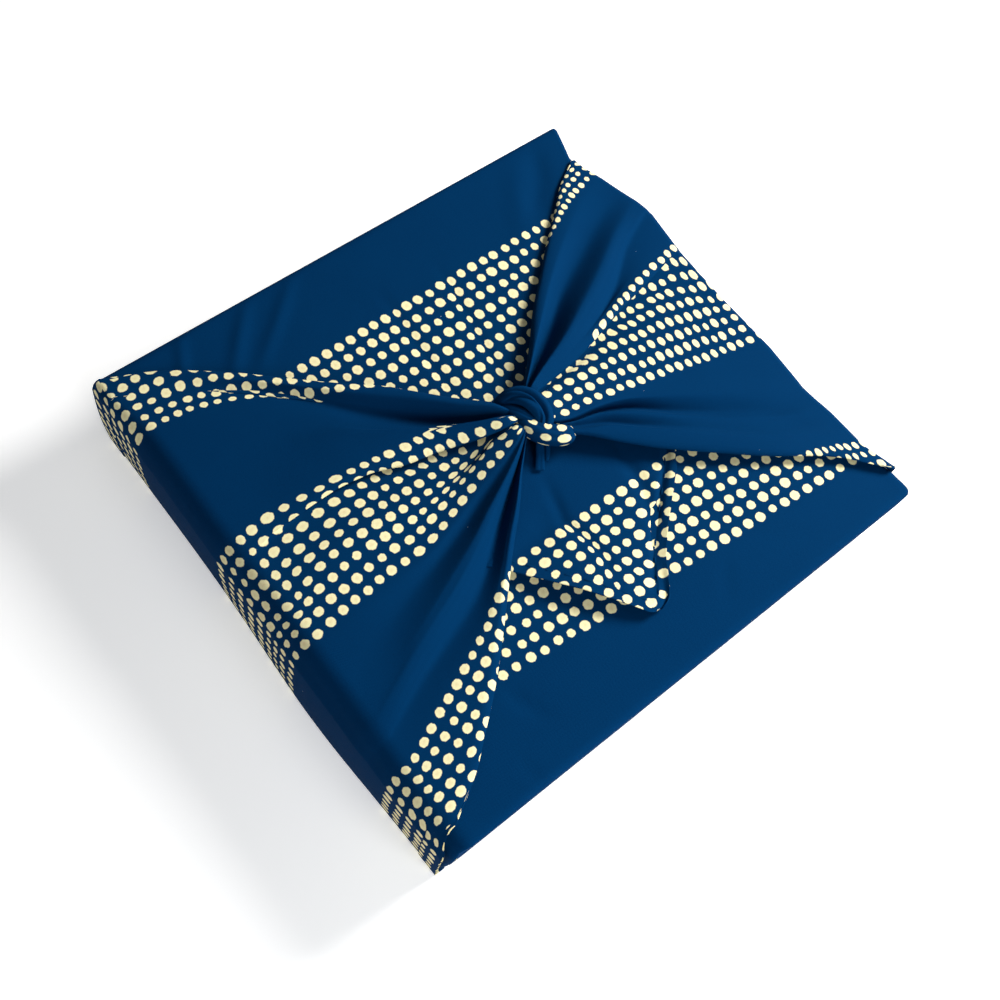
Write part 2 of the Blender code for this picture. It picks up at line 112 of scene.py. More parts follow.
def printed_cotton(name, navy, ink):
    cotton = bpy.data.materials.new(name)
    cotton.use_nodes = True
    tree = cotton.node_tree
    nodes, links = tree.nodes, tree.links
    shader = nodes["Principled BSDF"]

    def calc(operation, *values):
        node = nodes.new("ShaderNodeMath")
        node.operation = operation
        for socket, value in zip(node.inputs, values):
            if isinstance(value, (int, float)):
                socket.default_value = value
            else:
                links.new(value, socket)
        return node.outputs[0]

    def blend(amount, first, second):
        node = nodes.new("ShaderNodeMix")
        node.data_type = "RGBA"
        for socket, value in ((node.inputs[0], amount), (node.inputs[6], first),
                              (node.inputs[7], second)):
            if isinstance(value, (tuple, float)):
                socket.default_value = value
            else:
                links.new(value, socket)
        return node.outputs[2]

    def texture(kind, scale, **settings):
        node = nodes.new(kind)
        links.new(flat.outputs["UV"], node.inputs["Vector"])
        node.inputs["Scale"].default_value = scale
        for key, value in settings.items():
            node.inputs[key].default_value = value
        return node.outputs

    flat = nodes.new("ShaderNodeUVMap")
    flat.uv_map = "cloth"
    parts = nodes.new("ShaderNodeSeparateXYZ")
    links.new(flat.outputs["UV"], parts.inputs[0])
    u, v = parts.outputs[0], parts.outputs[1]
    # which band, row and column a point is in, and a chance for each dot
    band = calc("ROUND", calc("DIVIDE", v, BAND_GAP))
    across = calc("DIVIDE", calc("SUBTRACT", v, calc("MULTIPLY", band, BAND_GAP)), DOT_GAP)
    across = calc("ADD", across, 0.5)
    along = calc("DIVIDE", u, DOT_GAP)
    row, column = calc("FLOOR", across), calc("FLOOR", along)
    cell = nodes.new("ShaderNodeCombineXYZ")
    for socket, value in zip(cell.inputs, (column, row, band)):
        links.new(value, socket)
    chance = nodes.new("ShaderNodeTexWhiteNoise")
    chance.noise_dimensions = "3D"
    links.new(cell.outputs[0], chance.inputs["Vector"])
    lot = nodes.new("ShaderNodeSeparateColor")
    links.new(chance.outputs["Color"], lot.inputs[0])
    off = [calc("MULTIPLY", calc("SUBTRACT", lot.outputs[k], 0.5), DOT_DRIFT) for k in (0, 1)]
    wobble = texture("ShaderNodeTexNoise", 900.0, Detail=1.5)["Fac"]
    dx = calc("SUBTRACT", calc("SUBTRACT", calc("FRACT", along), 0.5), off[0])
    dy = calc("SUBTRACT", calc("SUBTRACT", calc("FRACT", across), 0.5), off[1])
    reach = calc("SQRT", calc("ADD", calc("MULTIPLY", dx, dx), calc("MULTIPLY", dy, dy)))
    reach = calc("ADD", reach, calc("MULTIPLY", calc("SUBTRACT", wobble, 0.5), DOT_ROUGH))
    radius = calc("ADD", DOT_RADIUS, calc("MULTIPLY", lot.outputs[2], DOT_SPREAD))
    edge = calc("DIVIDE", calc("SUBTRACT", calc("ADD", radius, DOT_SOFT / 2), reach), DOT_SOFT)
    dot = calc("MINIMUM", calc("MAXIMUM", edge, 0.0), 1.0)
    printed = calc("LESS_THAN", calc("ABSOLUTE", row), ROWS_EACH_SIDE + 0.5)
    dot = calc("MULTIPLY", dot, printed)

    # dyed threads, uneven in thickness, under a thin and slightly patchy ink
    warp = calc("SINE", calc("MULTIPLY", u, math.pi / THREAD_GAP))
    weft = calc("SINE", calc("MULTIPLY", v, math.pi / THREAD_GAP))
    weave = calc("MULTIPLY", warp, weft)
    slub = texture("ShaderNodeTexNoise", 1500.0, Detail=3.0)["Fac"]
    worn = texture("ShaderNodeTexNoise", 45.0, Detail=3.0)["Fac"]
    shade = calc("ADD", calc("ADD", 0.62, calc("MULTIPLY", slub, 0.62)),
                 calc("MULTIPLY", calc("SUBTRACT", worn, 0.5), 0.25))
    dyed = blend(calc("MINIMUM", shade, 1.0), (0.0, navy[1] * 0.55, navy[2] * 0.62, 1), navy)
    thin_ink = texture("ShaderNodeTexNoise", 1300.0, Detail=2.0)["Fac"]
    inked = blend(calc("MULTIPLY", calc("MAXIMUM", calc("SUBTRACT", thin_ink, 0.5), 0.0), 1.8),
                  ink, (ink[0] * 0.9, ink[1] * 0.76, ink[2] * 0.55, 1))
    middle = calc("MULTIPLY", calc("MAXIMUM", calc("SUBTRACT", 0.20, reach), 0.0), 2.6)
    inked = blend(middle, inked, (ink[0] * 0.88, ink[1] * 0.76, ink[2] * 0.62, 1))
    # a few pale specks of lint
    lint = texture("ShaderNodeTexVoronoi", 75.0, Randomness=1.0)
    speck = calc("LESS_THAN", lint["Distance"], 0.016)
    colour = blend(dot, dyed, inked)
    colour = blend(calc("MULTIPLY", speck, 0.6), colour, (0.55, 0.62, 0.72, 1))
    links.new(colour, shader.inputs["Base Color"])

    # relief of threads, slubs and ink, in metres
    height = calc("ADD", calc("MULTIPLY", weave, 0.00003), calc("MULTIPLY", slub, 0.00010))
    height = calc("ADD", height, calc("MULTIPLY", dot, 0.00004))
    bump = nodes.new("ShaderNodeBump")
    bump.inputs["Distance"].default_value = 1.0
    bump.inputs["Strength"].default_value = 0.55
    links.new(height, bump.inputs["Height"])
    links.new(bump.outputs[0], shader.inputs["Normal"])
    links.new(calc("SUBTRACT", 0.86, calc("MULTIPLY", dot, 0.28)), shader.inputs["Roughness"])
    shader.inputs["Specular IOR Level"].default_value = 0.02
    return cotton


navy_cotton = printed_cotton("navy_cotton", (0.0, 0.030, 0.103, 1), (0.95, 0.88, 0.53, 1))

# ---- Wrapped parcel ----------------------------------------------------------------------
# The box with the first corner of the cloth folded over it: base, walls and the flap that
# comes up from the -Y wall.  The cloth is pulled smooth, so it takes the shape of the box.

MM = 0.001
LENGTH, WIDTH, TOP = 0.2350, 0.2246, 0.0420       # over the cloth, and its flat top
CORNER_ROUND = 0.0030           # all edges of the box
DRAWN_ROUND = 0.0085            # its upper -X edge, where the tied corner draws the cloth round
# how far out each X wall stands at the top: y, then x (mm)
RIGHT_EDGE = np.array((
    (-112.0, 117.5), (-101.0, 117.2), (-86.0, 113.5), (-68.0, 113.8), (-52.0, 112.6),
    (-30.0, 115.0), (0.0, 115.2), (32.0, 117.0), (50.0, 120.2), (66.0, 117.5), (78.0, 114.2),
    (86.0, 111.6), (94.0, 110.4), (102.0, 113.2), (111.0, 116.8),
)) * MM
LEFT_EDGE = np.array((
    (-112.0, 117.2), (-90.0, 117.6), (-40.0, 117.0), (0.0, 116.4), (30.0, 117.6),
    (70.0, 117.0), (112.0, 117.2),
)) * MM


def cloth_piece(name, data):
    """Makes a finished mesh a piece of the wrap, in the printed cotton."""
    data.polygons.foreach_set("use_smooth", np.ones(len(data.polygons), bool))
    data.materials.append(navy_cotton)
    thing = bpy.data.objects.new(name, data)
    bpy.context.collection.objects.link(thing)
    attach(thing, "root")
    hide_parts("furoshiki_cloth")
    return thing


def left_edge_round(y):
    """Radius of the upper -X edge, which is sharp again at the +Y corner."""
    return CORNER_ROUND + (DRAWN_ROUND - CORNER_ROUND) * np.clip((0.102 - y) / 0.02, 0, 1)


def drawn_in(side, y, share):
    """How far the gather pulls an X wall in or out at y, all at the top and none at the base."""
    edge = RIGHT_EDGE if side > 0 else LEFT_EDGE
    return (np.interp(y, edge[:, 0], edge[:, 1]) - LENGTH / 2) * share**1.5


def ripples(x, y, size, seed):
    """Uneven soft waves of about the given length, from -1 to 1."""
    draw = np.random.default_rng(seed)
    total = np.zeros_like(x)
    for _ in range(9):
        turn, wave = draw.uniform(0, 2 * math.pi), size * draw.uniform(0.7, 1.6)
        total += np.sin((x * math.cos(turn) + y * math.sin(turn)) * 2 * math.pi / wave
                        + draw.uniform(0, 2 * math.pi))
    return total / 5


def beside(x, y, path):
    """Signed distance from a line on the parcel, and the share of the way along it."""
    path = np.array(path) * MM
    best = np.full(x.shape, 1e9)
    side, along = np.zeros_like(x), np.zeros_like(x)
    length = np.hypot(*np.diff(path, axis=0).T)
    start = np.concatenate([[0], np.cumsum(length)])
    for k, (a, b) in enumerate(zip(path, path[1:])):
        step = (b - a) / length[k]
        reach = np.clip((x - a[0]) * step[0] + (y - a[1]) * step[1], 0, length[k])
        dx, dy = x - a[0] - step[0] * reach, y - a[1] - step[1] * reach
        away = np.hypot(dx, dy)
        near = away < best
        best = np.where(near, away, best)
        side = np.where(near, np.sign(step[0] * dy - step[1] * dx) * away, side)
        along = np.where(near, (start[k] + reach) / start[-1], along)
    return side, along


def crease(x, y, path, width, height):
    """A soft ridge or dent along a line, fading out at both of its ends."""
    side, along = beside(x, y, path)
    return height * MM * np.exp(-(side / (width * MM)) ** 2) * np.sin(
        np.clip(along, 0.02, 0.98) * math.pi) ** 0.5


SKEW = math.radians(5.2)        # the first flap was folded over a little askew


def under_flap_print(x, y):
    """Place in the cloth of a point on the flap from the -Y wall."""
    u = x * math.cos(SKEW) - (y + 0.0730) * math.sin(SKEW)
    v = -(0.1950 + (x + 0.0670) * math.sin(SKEW) + (y + 0.0730) * math.cos(SKEW))
    return u, v


body_mesh = bmesh.new()
bmesh.ops.create_cube(body_mesh, size=1.0)
face_side = body_mesh.faces.layers.int.new("side")
side_order = ((0, 0, 1), (0, 0, -1), (0, 1, 0), (0, -1, 0), (1, 0, 0), (-1, 0, 0))
for face in body_mesh.faces:
    face[face_side] = side_order.index(tuple(round(k) for k in face.normal))
bmesh.ops.subdivide_edges(body_mesh, edges=body_mesh.edges[:], cuts=95, use_grid_fill=True)
body_data = bpy.data.meshes.new("wrapped_parcel")
body_mesh.to_mesh(body_data)
body_sides = np.array([face[face_side] for face in body_mesh.faces])
body_mesh.free()
cube = np.zeros(len(body_data.vertices) * 3)
body_data.vertices.foreach_get("co", cube)
cube = cube.reshape(-1, 3)
# the threads are crowded towards the edges, where the cloth turns
cube = np.sign(cube) * 0.5 * (1 - (1 - np.abs(cube) * 2) ** 1.25)
half = np.array((LENGTH / 2 - 0.0012, WIDTH / 2, TOP / 2))
x, y, z = (cube * 2 * half).T
at_edge = np.clip((-x - 0.085) / 0.02, 0, 1) * np.clip(z / 0.008, 0, 1)
edge_round = CORNER_ROUND + (left_edge_round(y) - CORNER_ROUND) * at_edge
core = np.stack([np.clip(k, -h + r, h - r) for k, h, r in zip(
    (x, y, z), half, (edge_round, CORNER_ROUND, edge_round))])
out = np.stack([x, y, z]) - core
reach = np.linalg.norm(out, axis=0)
largest = np.abs(out).max(axis=0)
x, y, z = core + out * np.where(reach > 0, largest / np.where(reach > 0, reach, 1), 1)
z += TOP / 2
height = z / TOP
belly = 0.0008 * np.sin(np.clip(height, 0, 1) * math.pi)
on_x = np.clip((np.abs(x) - 0.11) / 0.004, 0, 1)
on_y = np.clip((np.abs(y) - WIDTH / 2 + 0.004) / 0.004, 0, 1)
pull = np.where(x > 0, drawn_in(1, y, np.clip(height, 0, 1)), drawn_in(-1, y, np.clip(height, 0, 1)))
x += np.sign(x) * on_x * (belly + pull)
y += np.sign(y) * on_y * belly
y += 0.0042 * np.clip(1 - height, 0, 1) * np.where(y < 0, on_y, 0)
# the top is a little uneven, with dents where the flap's tip was pulled tight
on_top = np.clip((height - 0.97) / 0.03, 0, 1) * (1 - on_x)
dents = 0.00025 * ripples(x, y, 0.075, 4)
dents += crease(x, y, ((-66.9, -77.0), (-64.4, -85.7), (-60.1, -94.0)), 2.2, -0.7)
dents += crease(x, y, ((-78.9, -99.1), (-76.9, -111.9)), 1.6, -0.35)
dents += crease(x, y, ((33.2, -87.8), (22.3, -100.9)), 2.4, -0.35)
z += on_top * dents
# each face's place in the flat cloth, in the order of side_order
corners = np.zeros(len(body_data.loops), int)
body_data.loops.foreach_get("vertex_index", corners)
side = np.repeat(body_sides, 4)
cx, cy, cz = x[corners], y[corners], z[corners]
flat = np.zeros((len(corners), 2))
slip_u, slip_v = under_flap_print(cx, -WIDTH / 2)
fade = np.clip((-cy - 0.03) / 0.08, 0, 1)
for number, (u, v) in enumerate((
    under_flap_print(cx, cy),
    (cx, cy + (slip_v + 0.1545) * fade),
    (cx, 0.1123 + cz),
    (slip_u * cz / TOP + cx * (1 - cz / TOP), slip_v + (TOP - cz)),
    (0.1180 + cz, cy),
    (-0.1180 - cz, np.maximum(cy, -0.060)),
)):
    flat[side == number] = np.stack([u, v], axis=1)[side == number]
body_data.vertices.foreach_set("co", np.stack([x, y, z], axis=1).ravel())
body_data.uv_layers.new(name="cloth").data.foreach_set("uv", flat.ravel())
parcel = cloth_piece("wrapped_parcel", body_data)

# ---- Flap folded over last ---------------------------------------------------------------
# The opposite corner of the cloth: up the +Y wall, over the whole parcel and past the middle,
# where its hemmed tip lies free below the knot.

CLOTH_THICKNESS = 0.00045
FLAP_TOP = TOP + 0.0010
HEM_WIDTH, HEM_HEIGHT = 0.0045, 0.00030
FLAP_WALL = WIDTH / 2 + 0.0006          # where its outside stands on the +Y wall
# y, x of the left hem, x of the right hem, lift of the left hem, middle, right hem (mm)
OVER_FLAP = np.array((
    (-88.4, -4.2, -0.8, 1.5, 1.6, 1.3),
    (-88.0, -5.2, 1.6, 1.9, 1.8, 1.4),
    (-86.8, -6.6, 4.2, 2.3, 1.9, 1.3),
    (-84.0, -8.6, 6.8, 3.2, 1.9, 1.3),
    (-74.0, -15.8, 14.4, 4.6, 2.0, 1.1),
    (-66.0, -21.4, 22.6, 5.0, 1.8, 1.0),
    (-58.0, -27.4, 32.0, 4.4, 1.4, 0.9),
    (-49.0, -34.0, 43.0, 3.0, 0.9, 0.6),
    (-40.0, -40.0, 50.0, 1.2, 0.4, 0.2),
    (0.0, -84.0, 90.0, 0.0, 0.0, 0.0),
    (28.0, -113.6, 113.0, 0.0, 0.0, 0.0),
    (70.0, -114.5, 113.0, 0.0, 0.0, 0.0),
    (84.0, -115.0, 110.0, 0.0, 0.0, 0.0),
    (94.0, -115.3, 109.3, 0.0, 0.0, 0.0),
    (103.0, -115.6, 112.6, 0.0, 0.0, 0.0),
    (113.0, -116.0, 116.0, 0.0, 0.0, 0.0),
))
LEFT_HEM, RIGHT_HEM = OVER_FLAP[:9, 1::-1], OVER_FLAP[:9, 2::-2]


def smooth_through(stations, values, where):
    """Monotone cubic through the values, so that a ridge or valley never overshoots."""
    stations, values = np.asarray(stations, float), np.asarray(values, float)
    wide = (-1,) + (1,) * (values.ndim - 1)
    steps = np.diff(stations)
    slopes = np.diff(values, axis=0) / steps.reshape(wide)
    tangents = np.zeros_like(values)
    product, total = slopes[:-1] * slopes[1:], slopes[:-1] + slopes[1:]
    tangents[1:-1] = np.where(product > 0, 2 * product / np.where(total == 0, 1, total), 0)
    tangents[0], tangents[-1] = slopes[0], slopes[-1]
    index = np.clip(np.searchsorted(stations, where, side="right") - 1, 0, len(steps) - 1)
    part = ((where - stations[index]) / steps[index]).reshape(wide)
    step = steps[index].reshape(wide)
    return (
        (1 + 2 * part) * (1 - part) ** 2 * values[index]
        + part * (1 - part) ** 2 * step * tangents[index]
        + part**2 * (3 - 2 * part) * values[index + 1]
        + part**2 * (part - 1) * step * tangents[index + 1]
    )


def lay_cloth(name, place, flat, round_roll=False):
    """Weaves a grid through the given crossings; flat holds each one's place in the cloth."""
    rows, columns = place.shape[:2]
    mesh = bmesh.new()
    bmesh.ops.create_grid(mesh, x_segments=columns - 1, y_segments=rows - 1, size=0.5)
    data = bpy.data.meshes.new(name)
    mesh.to_mesh(data)
    mesh.free()
    spots = np.zeros(len(data.vertices) * 3)
    data.vertices.foreach_get("co", spots)
    spots = spots.reshape(-1, 3)
    column = np.rint((spots[:, 0] + 0.5) * (columns - 1)).astype(int)
    row = np.rint((spots[:, 1] + 0.5) * (rows - 1)).astype(int)
    data.vertices.foreach_set("co", place[row, column].ravel())
    corners = np.zeros(len(data.loops), int)
    data.loops.foreach_get("vertex_index", corners)
    data.uv_layers.new(name="cloth").data.foreach_set(
        "uv", flat[row[corners], column[corners]].ravel())
    if round_roll:
        mesh = bmesh.new()
        mesh.from_mesh(data)
        bmesh.ops.remove_doubles(mesh, verts=mesh.verts, dist=0.00001)
        mesh.to_mesh(data)
        mesh.free()
    thing = cloth_piece(name, data)
    if not round_roll:
        layer = thing.modifiers.new("cloth thickness", "SOLIDIFY")
        layer.thickness = CLOTH_THICKNESS
        layer.offset = -1
    return thing


tip_rows = np.concatenate([
    np.linspace(-88.4, -84.0, 14)[:-1], np.linspace(-84.0, -30.0, 68)[:-1],
    np.linspace(-30.0, 109.4, 100),
]) * MM
table = OVER_FLAP * MM
left_x, right_x, lift_l, lift_m, lift_r = (
    np.interp(tip_rows, table[:, 0], table[:, k]) for k in range(1, 6))
share = np.linspace(0, 1, 150)
flap_x = left_x[:, None] + (right_x - left_x)[:, None] * share
flap_y = np.repeat(tip_rows[:, None], len(share), axis=1)
flap_z = np.array([
    smooth_through((0.0, 0.5, 0.86, 1.0), np.array((a, b, 0.25 * c, c)), share)
    for a, b, c in zip(lift_l, lift_m, lift_r)
])
flap_z += 0.0002 * ripples(flap_x, flap_y, 0.09, 12) * np.clip((flap_y + 0.09) / 0.03, 0, 1)
# faint creases: a path of x, y, its half width and its height (mm)
for path, width, height in (
    (((-78.9, 111.7), (-86.3, 97.9), (-91.0, 88.0)), 2.4, 0.7),
    (((-48.0, 111.0), (-62.0, 96.0), (-74.0, 82.0)), 3.0, 0.9),
    (((-26.0, 111.0), (-44.7, 95.0), (-63.0, 80.5)), 3.0, 0.8),
    (((100.0, 108.0), (90.0, 92.0), (76.0, 78.0)), 5.0, -0.9),
    (((60.8, 66.6), (86.1, 105.6)), 5.0, 0.5),
    (((31.0, -8.0), (32.0, -24.0), (28.0, -44.0), (21.0, -62.0), (12.0, -76.0)), 3.4, -1.1),
    (((-34.0, -38.0), (-20.0, -40.0), (-8.0, -34.0)), 6.0, -0.8),
):
    flap_z += crease(flap_x, flap_y, path, width, height)
hem_in = np.minimum(*(np.abs(beside(flap_x, flap_y, hem)[0]) for hem in (LEFT_HEM, RIGHT_HEM)))
flap_z += HEM_HEIGHT * np.clip((HEM_WIDTH - hem_in) / 0.0006, 0, 1)
# over the rounded -X edge
past = np.clip(-flap_x - 0.1083, 0, DRAWN_ROUND - 0.0001) * np.clip((0.102 - flap_y) / 0.02, 0.3, 1)
flap_z = FLAP_TOP + flap_z - DRAWN_ROUND + np.sqrt(DRAWN_ROUND**2 - past**2)
# pulled tight on its way to the tip, the cloth is a little longer there and narrower
PULLED_Y = (-90.0, -84.3, -43.3, 19.4, 72.1, 112.5)
PULLED_V = (354.0, 348.1, 305.8, 244.2, 195.8, 158.8)
flap_v = np.interp(flap_y, np.array(PULLED_Y) * MM, np.array(PULLED_V) * MM)
flap_u = flap_x * np.interp(flap_y, (-0.06, -0.02), (1.0, 1.06))
# small tucks that take up a little cloth and squash the dots along them: a path of x, y,
# the half width, the cloth taken up and the depth (mm)
for path, width, taken, dip in (
    (((-2.0, -22.0), (-7.7, -40.3), (-5.2, -50.0), (-5.0, -60.0), (-9.0, -70.0)), 2.6, 6.6, 0.9),
    (((1.5, -80.5), (12.0, -70.6), (18.6, -62.5), (29.4, -54.5), (40.2, -45.6), (52.0, -34.0),
      (66.0, -20.0)), 1.5, 2.2, 1.2),
    (((24.5, 80.0), (24.0, 71.0), (19.0, 48.0), (14.0, 26.0), (11.0, 12.0)), 1.8, 2.4, 0.5),
    (((-3.0, 84.0), (-3.0, 73.0), (-6.0, 45.0), (-8.0, 19.0)), 2.2, 2.0, 0.5),
):
    side, along = beside(flap_x, flap_y, path)
    ends = np.sin(np.clip(along, 0.02, 0.98) * math.pi) ** 0.5
    flap_u = flap_u + taken * MM * ends * np.tanh(side / (width * MM)) / 2 * np.where(
        np.abs(side) < 0.03, 1 - np.clip(np.abs(side) / 0.03, 0, 1) ** 2, 0)
    flap_z += crease(flap_x, flap_y, path, width, -dip)
flap_place = np.stack([flap_x, flap_y, flap_z], axis=2)
flap_flat = np.stack([flap_u, flap_v], axis=2)
# then down the +Y wall and a little way under the box
wall_y, wall_z = [], []
for turn in np.radians((80, 65, 50, 35, 20, 8)):
    wall_y.append(FLAP_WALL - CORNER_ROUND * (1 - math.cos(turn)))
    wall_z.append(FLAP_TOP - CORNER_ROUND * (1 - math.sin(turn)))
for level in np.linspace(0.92, 0.06, 22):
    wall_y.append(FLAP_WALL + 0.0008 * math.sin(level * math.pi))
    wall_z.append(level * FLAP_TOP)
wall_y += [WIDTH / 2 + 0.0001, WIDTH / 2 - 0.0012, WIDTH / 2 - 0.0040]
wall_z += [0.0009, 0.0002, 0.0002]
wall_v = flap_v[-1, 0] - 0.98 * (FLAP_TOP - np.array(wall_z))
wall_place = np.stack([
    np.repeat(flap_x[-1][None], len(wall_y), axis=0),
    np.repeat(np.array(wall_y)[:, None], len(share), axis=1),
    np.minimum(np.array(wall_z)[:, None], flap_z[-1]),
], axis=2)
wall_flat = np.stack([
    wall_place[..., 0] * 1.06, np.repeat(wall_v[:, None], len(share), axis=1)], axis=2)
over_flap = lay_cloth("over_flap", np.concatenate([flap_place, wall_place]),
                      np.concatenate([flap_flat, wall_flat]))

# ---- Stitches of the tip's hem -----------------------------------------------------------
# The hem is rolled over and sewn down with navy cotton thread.  Along the two edges of the tip
# each stitch shows as a short rounded bar of thread, a little way in from the edge.

STITCH_GAP, STITCH_INSET = 7.2, 4.1     # mm
STITCH_HALF = (0.0017, 0.00036, 0.00024)        # half its length, width and height, in metres
stitches = bmesh.new()
for hem, inward in ((LEFT_HEM, 1), (RIGHT_HEM, -1)):
    steps = np.concatenate([[0], np.cumsum(np.linalg.norm(np.diff(hem, axis=0), axis=1))])
    for at in np.arange(6.0, min(steps[-1] - 1.0, 66.0), STITCH_GAP):
        here, there = (np.array([np.interp(at + k, steps, hem[:, i]) for i in (0, 1)])
                       for k in (-1.0, 1.0))
        way = (there - here) / np.linalg.norm(there - here)
        spot = (here + there) / 2 + inward * STITCH_INSET * np.array((way[1], -way[0]))
        spot = spot * MM
        near = np.argmin((flap_x - spot[0]) ** 2 + (flap_y - spot[1]) ** 2)
        place = Matrix.Translation((spot[0], spot[1], flap_z.flat[near] + 0.00012))
        place @= Matrix.Rotation(math.atan2(way[1], way[0]), 4, "Z")
        place @= Matrix.Diagonal((*STITCH_HALF, 1))
        bmesh.ops.create_icosphere(stitches, subdivisions=2, radius=1, matrix=place)
thread_data = bpy.data.meshes.new("hem_stitches")
stitches.to_mesh(thread_data)
stitches.free()
hem_stitches = cloth_piece("hem_stitches", thread_data)

# ---- Tied corners ------------------------------------------------------------------------
# The two last corners of the cloth come up the X walls and run to the knot in folds.  Each
# line is one fold, from the lower folded edge to the upper: y across the parcel, height over
# the layers below, and place across the flat cloth, at stations from the wall to the knot.

